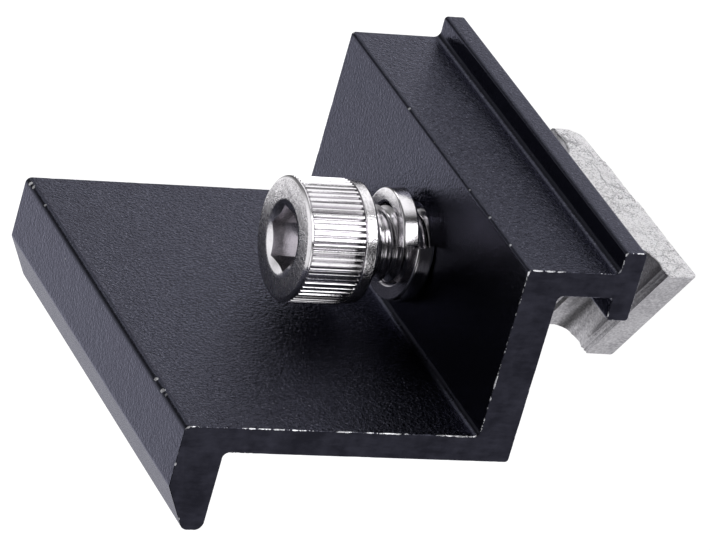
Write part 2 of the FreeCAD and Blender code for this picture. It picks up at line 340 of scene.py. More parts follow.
def lathe(name, profile, columns):
    """Body of revolution about Z from (radius, z) points that start and end on the axis."""
    verts = [(0.0, 0.0, profile[0][1]), (0.0, 0.0, profile[-1][1])]
    rings = []
    for radius, z in profile[1:-1]:
        ring = []
        for column in range(columns):
            angle = FULL_TURN * column / columns
            ring.append(len(verts))
            verts.append((radius * math.cos(angle), radius * math.sin(angle), z))
        rings.append(ring)
    faces = []
    for column in range(columns):
        following = (column + 1) % columns
        faces.append((0, rings[0][column], rings[0][following]))
        for low, high in zip(rings, rings[1:]):
            faces.append((low[column], low[following], high[following], high[column]))
        faces.append((rings[-1][column], rings[-1][following], 1))
    obj = make_object(name, verts, faces)
    recalc(obj)
    return obj


def corner_arc(before, corner, after, steps):
    """Points of the arc that rounds one (x, z, radius) corner between its neighbours."""
    point = Vector(corner[:2])
    radius = corner[2]
    back = (Vector(before[:2]) - point).normalized()
    ahead = (Vector(after[:2]) - point).normalized()
    half = 0.5 * back.angle(ahead)
    centre = point + (back + ahead).normalized() * (radius / math.sin(half))
    start = point + back * (radius / math.tan(half)) - centre
    end = point + ahead * (radius / math.tan(half)) - centre
    first = math.atan2(start.y, start.x)
    turn = (math.atan2(end.y, end.x) - first + math.pi) % FULL_TURN - math.pi
    arc = []
    for step in range(steps + 1):
        angle = first + turn * (step / steps)
        arc.append((centre.x + radius * math.cos(angle), centre.y + radius * math.sin(angle)))
    return arc


def rounded_outline(corners, corner_steps, flat_step, guard=0.0):
    """Closed outline in x and z through rounded corners, with the flats divided evenly.

    A guard puts one more point at that distance beside each corner.
    """
    count = len(corners)
    arcs = [corner_arc(corners[index - 1], corners[index], corners[(index + 1) % count],
                       corner_steps) for index in range(count)]
    outline = []
    for index, arc in enumerate(arcs):
        outline.extend(arc)
        start = Vector(arc[-1])
        end = Vector(arcs[(index + 1) % count][0])
        if guard > 0.0:
            beside = (end - start).normalized() * guard
            start = start + beside
            end = end - beside
            outline.append(tuple(start))
        pieces = max(1, int(round((end - start).length / flat_step)))
        for step in range(1, pieces):
            outline.append(tuple(start.lerp(end, step / pieces)))
        if guard > 0.0:
            outline.append(tuple(end))
    return np.array(outline)


def unit_rows(rows):
    return rows / np.linalg.norm(rows, axis=1)[:, None]


def outline_normals(outline):
    """Outward normals of a closed outline, whichever way round it runs."""
    following = np.roll(outline, -1, 0)
    previous = np.roll(outline, 1, 0)
    tangent = unit_rows(unit_rows(following - outline) + unit_rows(outline - previous))
    normals = np.stack([-tangent[:, 1], tangent[:, 0]], 1)
    area = np.sum(outline[:, 0] * following[:, 1] - following[:, 0] * outline[:, 1])
    return -normals if area > 0 else normals


def end_chip_depth(arc_length, total, number, seed):
    """Depth, from 0 to 1, of chips strewn along a closed edge of that total length."""
    draw = np.random.default_rng(seed)
    places = draw.uniform(0.0, total, number)
    half_widths = draw.uniform(*CHIP_WIDTH_LIMITS, number) ** CHIP_WIDTH_POWER * MM
    depths = draw.uniform(*CHIP_DEPTH_LIMITS, number)
    depth = np.zeros(len(arc_length))
    for place, half_width, share in zip(places, half_widths, depths):
        away = np.abs((arc_length - place + 0.5 * total) % total - 0.5 * total)
        depth = np.maximum(depth, share * np.clip(1.0 - (away / half_width) ** 2, 0.0, 1.0))
    return depth


def end_rows(outline, normals, half, side, depth, wear):
    """Rows of one cut end from its face inwards, as (points, distances along Y, bareness)."""
    count = len(outline)
    cut = END_EDGE_BREAK + CHIP_INTO_FACE * depth
    fall = END_EDGE_BREAK + CHIP_ALONG_CLAMP * depth
    bare = np.clip(wear + WEAR_OF_CHIP * depth, 0.0, 1.0)
    inner_face = outline - normals * (cut + END_ROW_GAP)[:, None]
    face = outline - normals * cut[:, None]
    under = outline - normals * (CHIP_UNDERCUT * depth)[:, None]
    none = np.zeros(count)
    return [
        (inner_face, np.full(count, side * half), none),
        (face, np.full(count, side * (half - END_FACE_ROW)), bare * WEAR_OF_FACE_ROW),
        (under, side * (half - fall), bare),
        (outline, side * (half - fall - END_ROW_GAP), none),
        (outline, np.full(count, side * (half - END_PLAIN_ROW)), none),
    ]


def end_wear(outline, normals):
    """How bare the cut ends' edge is rubbed at each point of the outline."""
    towards_screw = normals[:, 0] > FACES_AXIS
    worn = np.full(len(outline), WEAR_HIDDEN)
    worn[towards_screw] = WEAR_INNER
    worn[(normals[:, 1] > FACES_AXIS) & (outline[:, 1] < LIP_UNDER_Z)] = WEAR_LEVEL
    worn[towards_screw & (outline[:, 0] > LEG_INNER_X)] = WEAR_INNER
    return worn


def rows_between_ends(half):
    """Distances along Y of the rows between the cut ends, closer together at the chips."""
    places = set()
    for _, y, _, _ in EDGE_CHIPS:
        for shift in EDGE_CHIP_ROWS_MM:
            places.add(round(y * MM + shift * MM, 7))
    for y in np.arange(-ROW_REACH_MM, ROW_REACH_MM + 0.01, ROW_STEP_MM):
        places.add(round(y * MM, 7))
    return [y for y in sorted(places) if abs(y) < half - END_CLEARANCE]


def on_rounded_corners(normals):
    """Which points of the clamp's outline lie on its rounded corners, as 0 or 1."""
    fall = LIP_THICKNESS - LIP_TIP_THICKNESS
    lip_slope = fall / math.hypot(LIP_BEND_X - LIP_TIP_X, fall)
    rounded = np.abs(normals).max(axis=1) < FLAT_NORMAL
    rounded &= np.abs(np.abs(normals[:, 0]) - lip_slope) > SLOPE_NORMAL_GAP
    return rounded.astype(float)


def clamp_detail():
    outline = rounded_outline(CLAMP_CORNERS, CORNER_STEPS, SECTION_STEP)
    normals = outline_normals(outline)
    count = len(outline)
    step = np.linalg.norm(np.roll(outline, -1, 0) - outline, axis=1)
    arc_length = np.concatenate([[0.0], np.cumsum(step)[:-1]])
    half = 0.5 * (CLAMP_HIGH.y - CLAMP_LOW.y)
    middle = 0.5 * (CLAMP_HIGH.y + CLAMP_LOW.y)
    worn = end_wear(outline, normals)
    ends = []
    for side, number, seed, share in END_CHIPS:
        depth = end_chip_depth(arc_length, step.sum(), number, seed)
        depth = depth * np.clip(CHIPS_PER_WEAR * worn, 0.0, 1.0) * share
        wear = worn * (LEAST_END_WEAR + (1.0 - LEAST_END_WEAR) * share)
        ends.append(end_rows(outline, normals, half, side, depth, wear))
    between = [(outline, np.full(count, y), np.zeros(count)) for y in rows_between_ends(half)]
    rows = ends[0] + between + ends[1][::-1]
    grid = np.array([np.stack([points[:, 0], middle + y, points[:, 1]], 1)
                     for points, y, _ in rows])
    bare = np.array([share for _, _, share in rows])
    outwards = np.tile(normals, (len(grid), 1, 1))
    for x, y, z, size in EDGE_CHIPS:
        away = np.linalg.norm((grid - np.array([x, y, z]) * MM) / (size * MM), axis=2)
        hit = np.clip(1.0 - away ** 2, 0.0, 1.0)
        bare = np.maximum(bare, np.clip(EDGE_CHIP_BARE * hit, 0.0, 1.0))
        push = (EDGE_CHIP_DEPTH * hit)[:, :, None]
        grid[:, :, 0:1] -= push * outwards[:, :, 0:1]
        grid[:, :, 2:3] -= push * outwards[:, :, 1:2]
    obj = make_object("clamp_extrusion", grid.reshape(-1, 3), closed_tube(len(grid), count))
    store_shares(obj, "bare", bare)
    store_shares(obj, "rounded", np.tile(on_rounded_corners(normals), (len(grid), 1)))
    recalc(obj)
    cut_hole(obj)
    recalc(obj, merge=HOLE_MERGE)
    finish_mesh(obj, CLAMP_SHARP_DEGREES)
    return obj


def cut_hole(obj):
    """Cuts the clearance hole with its broken edges through the clamp's base."""
    mouth = HOLE_RADIUS + HOLE_EDGE_BREAK
    low, high = BASE_UNDER_Z - CUTTER_OVERLAP, BASE_HEIGHT + CUTTER_OVERLAP
    cutter = lathe("hole_cutter", [
        (0.0, low), (mouth, low), (mouth, BASE_UNDER_Z),
        (HOLE_RADIUS, BASE_UNDER_Z + HOLE_EDGE_BREAK),
        (HOLE_RADIUS, BASE_HEIGHT - HOLE_EDGE_BREAK),
        (mouth, BASE_HEIGHT), (mouth, high), (0.0, high),
    ], HOLE_COLUMNS)
    hole = obj.modifiers.new("hole", "BOOLEAN")
    hole.operation = "DIFFERENCE"
    hole.solver = "EXACT"
    hole.object = cutter
    graph = bpy.context.evaluated_depsgraph_get()
    mesh = bpy.data.meshes.new_from_object(obj.evaluated_get(graph))
    obj.modifiers.clear()
    obj.data = mesh
    bpy.data.objects.remove(cutter)


def hexagon_radius(angle):
    from_corner = (angle - SOCKET_AZIMUTH) % (math.pi / 3.0)
    return 0.5 * SOCKET_FLATS / np.cos(from_corner - math.pi / 6.0)


def knurl_depth(angle):
    """Depth of the knurl at each column of the head, a little uneven round it."""
    wave = np.array([noise.noise(Vector((math.cos(a) * KNURL_WAVE_SCALE,
                                         math.sin(a) * KNURL_WAVE_SCALE,
                                         KNURL_WAVE_SEED))) for a in angle])
    tooth = KNURL_TOOTH[np.arange(len(angle)) % len(KNURL_TOOTH)]
    return KNURL_DEPTH * tooth * (1.0 + KNURL_WAVE * wave)


def head_rings(columns):
    """Rings of the head from its socket to its underside, how dull each is, and how much painted
    shade darkens it.
    """
    angle = FULL_TURN * np.arange(columns) / columns
    cosine, sine = np.cos(angle), np.sin(angle)
    depth = knurl_depth(angle)
    # Painted shade in the knurl's grooves, darker where a groove is deeper
    knurl_groove_shade = np.clip(depth / KNURL_DEPTH, 0.0, 1.0)
    none = np.zeros(columns)
    rings, matte, painted_groove_shade = [], [], []

    def ring(radius, z, dull=0.0, groove_shade_share=none):
        radius = np.broadcast_to(radius, (columns,))
        z = np.broadcast_to(z, (columns,))
        rings.append(np.stack([radius * cosine, radius * sine, z], 1))
        matte.append(np.full(columns, dull))
        painted_groove_shade.append(np.broadcast_to(groove_shade_share, (columns,)))

    # Socket, from its drill point up to its bevelled mouth
    floor = HEAD_TOP - SOCKET_DEPTH
    hexagon = hexagon_radius(angle)
    mouth = SOCKET_FLATS / math.sqrt(3.0) + SOCKET_MOUTH_STEP
    ring(0.25 * SOCKET_FLATS, floor - 0.5 * SOCKET_POINT)
    ring(0.5 * SOCKET_FLATS, floor)
    ring(hexagon, floor)
    ring(hexagon, HEAD_TOP - (mouth - hexagon) * SOCKET_MOUTH_SLOPE)
    ring(mouth - SOCKET_MOUTH_ROUND, HEAD_TOP - SOCKET_MOUTH_ROUND * SOCKET_MOUTH_SLOPE)
    ring(mouth + CORNER_ROW, HEAD_TOP)

    # Crowned face and its rounded edge
    face_edge = HEAD_RADIUS - HEAD_EDGE_BREAK
    for share in FACE_RINGS:
        ring(mouth + (face_edge - mouth) * share, HEAD_TOP - FACE_CROWN * share ** 2,
             0.0 if share == 1.0 else 1.0)
    for inwards, downwards in EDGE_PROFILE:
        fall = FACE_CROWN + downwards * (HEAD_EDGE_BREAK - FACE_CROWN)
        ring(HEAD_RADIUS - inwards * HEAD_EDGE_BREAK, HEAD_TOP - fall)

    # Rim groove, knurl and collar notch, with painted shade in their grooves
    band_top = HEAD_UNDERSIDE + BAND_HEIGHT
    rim = HEAD_TOP - HEAD_EDGE_BREAK
    groove = HEAD_RADIUS - RIM_GROOVE_DEPTH
    notch = HEAD_RADIUS - COLLAR_NOTCH_DEPTH
    knurl_top = rim - KNURL_START
    knurl_end = band_top + COLLAR_NOTCH_WIDTH
    last_row = knurl_end + KNURL_LAST_ROW
    ring(HEAD_RADIUS, rim - 2.0 * CORNER_ROW)
    ring(groove, rim - 3.0 * CORNER_ROW, 0.0, none + RIM_GROOVE_SHADE)
    ring(groove, knurl_top + GROOVE_END, 0.0, none + RIM_GROOVE_SHADE)
    ring(HEAD_RADIUS - CORNER_ROW - depth * 0.7, knurl_top + CORNER_ROW, 0.0, knurl_groove_shade)
    ring(HEAD_RADIUS - depth, knurl_top, 0.0, knurl_groove_shade)
    for row in range(1, KNURL_ROWS + 1):
        ring(HEAD_RADIUS - depth, knurl_top + (last_row - knurl_top) * row / KNURL_ROWS, 0.0, knurl_groove_shade)
    ring(HEAD_RADIUS - depth * 1.5, knurl_end, 0.0, np.clip(knurl_groove_shade * 1.4, 0.0, 1.0))
    ring(HEAD_RADIUS - np.maximum(depth, 0.4 * KNURL_DEPTH), knurl_end - CORNER_ROW, 0.0, knurl_groove_shade)
    ring(notch, knurl_end - 2.0 * CORNER_ROW, 0.0, none + 1.0)
    ring(notch, band_top, 0.0, none + 1.0)

    # Collar and the head's underside
    band_radius = HEAD_RADIUS - BAND_STEP
    band_low = HEAD_UNDERSIDE + BAND_CHAMFER
    ring(band_radius - BAND_TOP_ROUND, band_top - BAND_TOP_FALL)
    ring(band_radius, band_top - 2.0 * CORNER_ROW)
    ring(band_radius, band_top - BAND_DULL_TOP, BAND_DULLNESS)
    ring(band_radius, band_low + BAND_DULL_END, BAND_DULLNESS)
    ring(band_radius, band_low)
    ring(band_radius - BAND_CHAMFER * 0.4, HEAD_UNDERSIDE + BAND_CHAMFER * 0.35)
    ring(band_radius - BAND_CHAMFER, HEAD_UNDERSIDE)
    for beyond_thread in UNDERSIDE_RINGS:
        ring(THREAD_RADIUS + beyond_thread, HEAD_UNDERSIDE)
    return rings, matte, painted_groove_shade


def screw_detail():
    columns = KNURL_TEETH * len(KNURL_TOOTH)
    rings, matte, painted_groove_shade = head_rings(columns)
    faces = []
    for column in range(columns):
        following = (column + 1) % columns
        faces.append((0, 1 + column, 1 + following))
        for row in range(len(rings) - 1):
            low, high = 1 + row * columns, 1 + (row + 1) * columns
            faces.append((low + column, low + following, high + following, high + column))

    # The thread's own grid hangs on the head's last ring and closes in one point below
    thread_verts, thread_faces, top_row = thread_grid()
    last_ring = 1 + (len(rings) - 1) * columns
    offset = last_ring + columns
    centre = offset + len(thread_verts)
    ratio = columns // THREAD_COLUMNS
    for column in range(THREAD_COLUMNS):
        following = (column + 1) % THREAD_COLUMNS
        fine = [last_ring + (column * ratio + k) % columns for k in range(ratio + 1)]
        faces.append(tuple(fine + [offset + top_row[following], offset + top_row[column]]))
    for face in thread_faces:
        faces.append(tuple(offset + k for k in face))
    for column in range(THREAD_COLUMNS):
        faces.append((offset + column, offset + (column + 1) % THREAD_COLUMNS, centre))
    drill_point = np.array([[0.0, 0.0, HEAD_TOP - SOCKET_DEPTH - SOCKET_POINT]])
    end_point = np.array([[0.0, 0.0, SCREW_LOW.z]])
    verts = np.concatenate([drill_point] + rings + [thread_verts, end_point])
    obj = make_object("socket_screw", verts, faces)
    # The painted shade in the head's grooves is stored for the steel material
    for name, values in (("matte", matte), ("painted_groove_shade", painted_groove_shade)):
        shares = np.zeros(len(verts))
        shares[1:offset] = np.concatenate(values)
        store_shares(obj, name, shares)
    recalc(obj, merge=SCREW_MERGE)
    finish_mesh(obj, SCREW_SHARP_DEGREES)
    return obj


def thread_grid():
    """Right-hand thread: grid rows follow the helix, and both ends run into plain rings."""
    columns = THREAD_COLUMNS
    per_turn = len(THREAD_STATIONS)
    top = HEAD_UNDERSIDE - THREAD_START
    bottom = SCREW_LOW.z
    turns = int(math.ceil((top - bottom) / THREAD_PITCH)) + 2
    levels = np.array([turn + station for turn in range(turns) for station in THREAD_STATIONS])
    levels = levels * THREAD_PITCH + bottom - THREAD_PITCH
    angle = FULL_TURN * np.arange(columns) / columns
    lift = THREAD_PITCH * np.arange(columns) / columns
    z = levels[:, None] + lift[None, :]
    phases = np.array(THREAD_STATIONS * turns)
    depth = THREAD_DEPTH * np.interp(phases, THREAD_FORM[:, 0], THREAD_FORM[:, 1])[:, None]
    fade = np.clip((top - z) / THREAD_FADE, 0.0, 1.0)
    radius = THREAD_RADIUS - depth * fade - NECK_STEP * (1.0 - fade)
    end_radius = THREAD_RADIUS - END_CHAMFER
    radius = np.minimum(radius, end_radius + np.clip(z - bottom, 0.0, END_CHAMFER))
    radius = np.where(z >= top, THREAD_RADIUS - NECK_STEP, radius)
    radius = np.where(z <= bottom, end_radius, radius)
    inside = (z > bottom) & (z < top)
    z = np.clip(z, bottom, top)
    verts = np.stack([radius * np.cos(angle), radius * np.sin(angle), z], 2).reshape(-1, 3)
    rows = len(levels)
    faces = []

    def add_face(corners):
        """Adds the face between four (row, column) corners, unless an end has flattened it."""
        if any(inside[corner] for corner in corners) or z[corners[0]] != z[corners[3]]:
            faces.append(tuple(row * columns + column for row, column in corners))

    for row in range(rows - 1):
        for column in range(columns - 1):
            add_face([(row, column), (row, column + 1), (row + 1, column + 1), (row + 1, column)])
        if row + per_turn + 1 < rows:
            add_face([(row, columns - 1), (row + per_turn, 0),
                      (row + per_turn + 1, 0), (row + 1, columns - 1)])
    return verts, faces, [(rows - 1) * columns + column for column in range(columns)]


def washer_detail():
    inner, outer = WASHER_INNER, WASHER_INNER + WASHER_SECTION
    section = rounded_outline([
        (inner, 0.0, WASHER_EDGE), (outer, 0.0, WASHER_EDGE),
        (outer, WASHER_SECTION, WASHER_EDGE), (inner, WASHER_SECTION, WASHER_EDGE),
    ], WASHER_CORNER_STEPS, WASHER_FLAT_STEP, WASHER_GUARD)
    outer_third = np.clip((section[:, 0] - inner) / WASHER_SECTION * 3.0 - 2.0, 0.0, 1.0)
    section[:, 0] -= RIM_TAPER * outer_third * section[:, 1] / WASHER_SECTION
    middle_radius = 0.5 * (inner + outer)
    middle_z = WASHER_LOW.z + WASHER_SECTION
    gap = math.degrees(0.5 * SPLIT_WIDTH / middle_radius)
    lean = math.tan(math.radians(SPLIT_SLANT))
    verts = []
    for step in range(WASHER_TURN_STEPS + 1):
        turn = gap + (360.0 - 2.0 * gap) * step / WASHER_TURN_STEPS
        floor = WASHER_LOW.z + WASHER_RISE * (1.0 - turn / 360.0)
        for radius, height in section:
            z = floor + height
            angle = math.radians(SPLIT_AZIMUTH + turn) - lean * (z - middle_z) / middle_radius
            verts.append((radius * math.cos(angle), radius * math.sin(angle), z))
    obj = make_object("split_washer", verts, closed_tube(WASHER_TURN_STEPS + 1, len(section)))
    recalc(obj)
    finish_mesh(obj, WASHER_SHARP_DEGREES)
    return obj


def divide_nut_ends(bm):
    """Divides the nut's two flat ends into a fine grid, with a row at the tear's start."""
    for side in (1.0, -1.0):
        for axis, low, high in ((1, NUT_LOW.y, NUT_HIGH.y), (2, NUT_LOW.z, NUT_HIGH.z)):
            number = int((high - low) / NUT_FACE_STEP)
            places = [low + (high - low) * index / number for index in range(1, number)]
            if axis == 1:
                places += [TEAR_LINE[0][0] * MM, (TEAR_LINE[0][0] + TEAR_ROW_GAP) * MM]
            normal = Vector((0.0, 1.0, 0.0)) if axis == 1 else Vector((0.0, 0.0, 1.0))
            for place in places:
                faces = [f for f in bm.faces if f.normal.x * side > NUT_END_NORMAL]
                parts = list(set(v for f in faces for v in f.verts))
                parts += list(set(e for f in faces for e in f.edges)) + faces
                bmesh.ops.bisect_plane(bm, geom=parts, dist=NUT_CUT_TOLERANCE,
                                       plane_co=normal * place, plane_no=normal)


def roughen_nut_ends(vertices, torn):
    """Pushes the ends' vertices inwards by the saw's marks, the tear and the torn corner."""
    middle_x = 0.5 * (NUT_LOW.x + NUT_HIGH.x)
    tear_y, tear_z = np.array(TEAR_LINE)[::-1].T * MM
    for vertex in vertices:
        side = 1.0 if vertex.co.x > middle_x else -1.0
        spot = vertex.co * MM_PER_METRE * SAW_NOISE_SCALE
        coarse = noise.fractal(spot + Vector((side * SAW_NOISE_SHIFT, 0.0, 0.0)), *SAW_NOISE_FORM)
        push = SAW_DEPTH + SAW_WAVE * coarse
        y, z = vertex.co.y, vertex.co.z
        if side > 0.0 and y > tear_y[-1]:
            share = np.clip((tear_z[-1] - z) / (tear_z[-1] - NUT_LOW.z), 0.0, 1.0)
            push += TORN_CORNER_DEPTH * share
        elif side > 0.0 and y > tear_y[0]:
            ridge = np.interp(y, tear_y, tear_z)
            vertex[torn] = (z - ridge) / MM
            if z < ridge:
                push += TEAR_DEPTH + TEAR_WAVE * abs(coarse)
        vertex.co.x -= side * max(0.0, push) * MM


def nut_detail():
    bm = bmesh.new()
    bm.from_mesh(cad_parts["rail_nut"].data)
    bmesh.ops.remove_doubles(bm, verts=bm.verts, dist=NUT_MERGE)
    bmesh.ops.dissolve_limit(bm, angle_limit=math.radians(NUT_FLAT_DEGREES),
                             verts=bm.verts, edges=bm.edges)
    flats = set(f for f in bm.faces if abs(f.normal.x) > NUT_END_NORMAL)
    rim = [e for e in bm.edges if sum(f in flats for f in e.link_faces) == 1]
    bmesh.ops.bevel(bm, geom=rim, offset=NUT_RIM_WIDTH, offset_type="OFFSET", segments=2,
                    profile=0.5, affect="EDGES", clamp_overlap=False)
    divide_nut_ends(bm)
    sawn = bm.faces.layers.float.new("sawn")
    torn = bm.verts.layers.float.new("torn")

    def beside_end(x):
        return x > NUT_HIGH.x - NUT_RIM_REACH or x < NUT_LOW.x + NUT_RIM_REACH

    for face in bm.faces:
        if abs(face.normal.x) > NUT_END_NORMAL:
            face[sawn] = 1.0
        elif beside_end(face.calc_center_median().x):
            face[sawn] = NUT_RIM_SHARE
    for vertex in bm.verts:
        vertex[torn] = FAR_FROM_TEAR
    roughen_nut_ends([v for v in bm.verts if beside_end(v.co.x)], torn)
    bm.edges.index_update()
    rim_borders = [e.index for e in bm.edges
                   if {f[sawn] for f in e.link_faces} == {0.0, NUT_RIM_SHARE}]
    mesh = bpy.data.meshes.new("slot_nut")
    bm.to_mesh(mesh)
    bm.free()
    obj = link_object("slot_nut", mesh)
    finish_mesh(obj, NUT_SHARP_DEGREES)

    # Sharp borders keep the rim's rounding out of the shading of the long faces
    for index in rim_borders:
        mesh.edges[index].use_edge_sharp = True
    return obj


# Colours of the materials, as linear red, green and blue
ANODISED_DARK = (0.010, 0.010, 0.014, 1.0)
ANODISED_SPECKLE = (0.048, 0.050, 0.066, 1.0)
ANODISED_GLINT = (0.15, 0.15, 0.18, 1.0)
ANODISED_TINT = (0.88, 0.88, 1.0, 1.0)
CUT_END_DARK = (0.0105, 0.0105, 0.0150, 1.0)
CUT_END_LIGHT = (0.0215, 0.0215, 0.0300, 1.0)
WORN_DULL = (0.28, 0.28, 0.31, 1.0)
WORN_BRIGHT = (0.84, 0.84, 0.87, 1.0)
STEEL_CLEAN = (0.86, 0.84, 0.87, 1.0)
# Dark steel: dirt spots, and painted shade in the head's grooves
STEEL_DIRT_AND_SHADE = (0.14, 0.13, 0.15, 1.0)
SAWN_BRIGHT = (0.97, 0.96, 0.98, 1.0)
# Painted shade in the sawn ends' pits and cracks and along the tear
SAWN_PIT_SHADE = (0.27, 0.26, 0.29, 1.0)
SKIN_DULL = (0.30, 0.29, 0.32, 1.0)
SKIN_BRIGHT = (0.66, 0.65, 0.68, 1.0)
FLOOR_GLOW = (1.0, 1.0, 1.0, 1.0)
FLOOR_PAPER = (0.3, 0.3, 0.3, 1.0)


class Graph:
    """Short names for building the shader nodes of one material or of the world.

    Noise scales are in features per metre, and bump depths in metres.
    """

    def __init__(self, owner, output_kind="ShaderNodeOutputMaterial"):
        owner.use_nodes = True
        self.owner = owner
        self.tree = owner.node_tree
        self.tree.nodes.clear()
        self.output = self.tree.nodes.new(output_kind)
        self.place = self.tree.nodes.new("ShaderNodeTexCoord")

    def node(self, kind, values=None, **settings):
        made = self.tree.nodes.new(kind)
        for key, value in settings.items():
            setattr(made, key, value)
        for key, value in (values or {}).items():
            made.inputs[key].default_value = value
        return made

    def link(self, source, target):
        self.tree.links.new(source, target)

    def feed(self, target, value):
        """Sets an input to a constant, or links it to another node's output."""
        if isinstance(value, (float, tuple)):
            target.default_value = value
        else:
            self.link(value, target)

    def stored(self, name):
        """The number that a mesh stores for each vertex or face under that name."""
        return self.node("ShaderNodeAttribute", attribute_name=name).outputs["Fac"]

    def mapped(self, scale):
        node = self.node("ShaderNodeMapping", {"Scale": scale})
        self.link(self.place.outputs["Object"], node.inputs["Vector"])
        return node.outputs["Vector"]

    def noise(self, scale, detail, rough, vector=None):
        node = self.node("ShaderNodeTexNoise",
                         {"Scale": scale, "Detail": detail, "Roughness": rough})
        self.link(vector or self.place.outputs["Object"], node.inputs["Vector"])
        return node.outputs["Fac"]

    def ramp(self, source, low, high, to_low=0.0, to_high=1.0, **settings):
        node = self.node("ShaderNodeMapRange", {
            "From Min": low, "From Max": high, "To Min": to_low, "To Max": to_high,
        }, **settings)
        self.link(source, node.inputs["Value"])
        return node.outputs["Result"]

    def math(self, operation, first, second=0.0):
        node = self.node("ShaderNodeMath", operation=operation)
        self.feed(node.inputs[0], first)
        self.feed(node.inputs[1], second)
        return node.outputs["Value"]

    def blend(self, share, first, second):
        """Colour between the first, at share 0, and the second, at share 1."""
        node = self.node("ShaderNodeMix", data_type="RGBA")
        self.link(share, node.inputs["Factor"])
        self.feed(node.inputs["A"], first)
        self.feed(node.inputs["B"], second)
        return node.outputs["Result"]

    def bump(self, height, strength, depth, normal=None):
        node = self.node("ShaderNodeBump", {"Strength": strength, "Distance": depth})
        self.link(height, node.inputs["Height"])
        if normal is not None:
            self.link(normal, node.inputs["Normal"])
        return node.outputs["Normal"]

    def metal(self, colour, roughness, normal, values=None):
        node = self.node("ShaderNodeBsdfPrincipled", {"Metallic": 1.0, **(values or {})})
        self.feed(node.inputs["Base Color"], colour)
        self.feed(node.inputs["Roughness"], roughness)
        self.link(normal, node.inputs["Normal"])
        return node.outputs["BSDF"]

    def mix_shaders(self, share, first, second):
        node = self.node("ShaderNodeMixShader")
        self.link(share, node.inputs["Fac"])
        self.link(first, node.inputs[1])
        self.link(second, node.inputs[2])
        return node.outputs["Shader"]

    def surface(self, shader):
        self.link(shader, self.output.inputs["Surface"])


def anodised_material():
    g = Graph(bpy.data.materials.new("black_anodised"))
    axes = g.node("ShaderNodeSeparateXYZ")
    g.link(g.place.outputs["Normal"], axes.inputs["Vector"])
    cut_face = g.math("ABSOLUTE", axes.outputs["Y"])
    level_face = g.math("ABSOLUTE", axes.outputs["Z"])
    rounded = g.stored("rounded")

    # Grain, weaker on the cut ends, the level faces and the rounded corners
    grained = g.ramp(cut_face, 0.6, 0.9, 1.0, 0.12)
    grained = g.math("MULTIPLY", grained, g.ramp(level_face, 0.6, 0.9, 1.0, 0.35))
    grained = g.math("MULTIPLY", grained, g.ramp(rounded, 0.0, 1.0, 1.0, 0.3))
    grain = g.ramp(g.noise(3000.0, 2.0, 0.7), 0.25, 0.75, -0.5, 0.5)
    grain = g.math("MULTIPLY", grain, grained)
    sparkle = g.math("MULTIPLY", g.ramp(g.noise(4700.0, 0.0, 0.5), 0.70, 0.78), grained)
    blotch = g.noise(420.0, 3.0, 0.6)
    drawn = g.noise(1.0, 2.0, 0.5, g.mapped((2600.0, 40.0, 2600.0)))
    normal = g.bump(grain, strength=1.0, depth=0.07 * MM)
    normal = g.bump(drawn, strength=0.25, depth=0.03 * MM, normal=normal)
    normal = g.bump(blotch, strength=0.25, depth=0.10 * MM, normal=normal)

    # Black layer: speckled, with a few glints, and mottled by the saw on the cut ends
    speckle = g.blend(g.ramp(grain, -0.36, 0.36), ANODISED_DARK, ANODISED_SPECKLE)
    glint = g.blend(sparkle, speckle, ANODISED_GLINT)
    saw_marks = g.noise(1.0, 3.0, 0.6, g.mapped((1900.0, 300.0, 500.0)))
    mottle = g.math("ADD", g.math("MULTIPLY", blotch, 0.6), g.math("MULTIPLY", saw_marks, 0.4))
    cut_end = g.blend(g.ramp(mottle, 0.38, 0.64), CUT_END_DARK, CUT_END_LIGHT)
    colour = g.blend(g.ramp(cut_face, 0.6, 0.9), glint, cut_end)
    satin = g.ramp(blotch, 0.3, 0.7, 0.13, 0.18)
    satin = g.math("ADD", satin, g.math("MULTIPLY", rounded, 0.13))
    black = g.metal(colour, satin, normal, {"Specular Tint": ANODISED_TINT})

    # Bare metal: dashes along the worn edges, and small flecks that are strewn everywhere
    stretch = g.noise(330.0, 2.0, 0.6)
    bare_colour = g.blend(g.ramp(stretch, 0.40, 0.60), WORN_DULL, WORN_BRIGHT)
    bare = g.metal(bare_colour, 0.42, normal)
    edge = g.stored("bare")
    wear = g.math("ADD", edge, g.ramp(g.noise(1700.0, 3.0, 0.65), 0.36, 0.64, -0.40, 0.40))
    wear = g.math("ADD", wear, g.ramp(stretch, 0.35, 0.65, -0.22, 0.22))
    worn = g.math("MULTIPLY", g.ramp(wear, 0.50, 0.64), g.ramp(edge, 0.02, 0.10))
    nick = g.node("ShaderNodeTexVoronoi", {"Scale": 170.0})
    g.link(g.place.outputs["Object"], nick.inputs["Vector"])
    fleck = g.math("MULTIPLY", g.ramp(nick.outputs["Distance"], 0.016, 0.022, 1.0, 0.0),
                   g.ramp(nick.outputs["Color"], 0.45, 0.55))
    mask = g.math("MAXIMUM", worn, g.math("MULTIPLY", fleck, 0.6))
    g.surface(g.mix_shaders(mask, black, bare))
    return g.owner


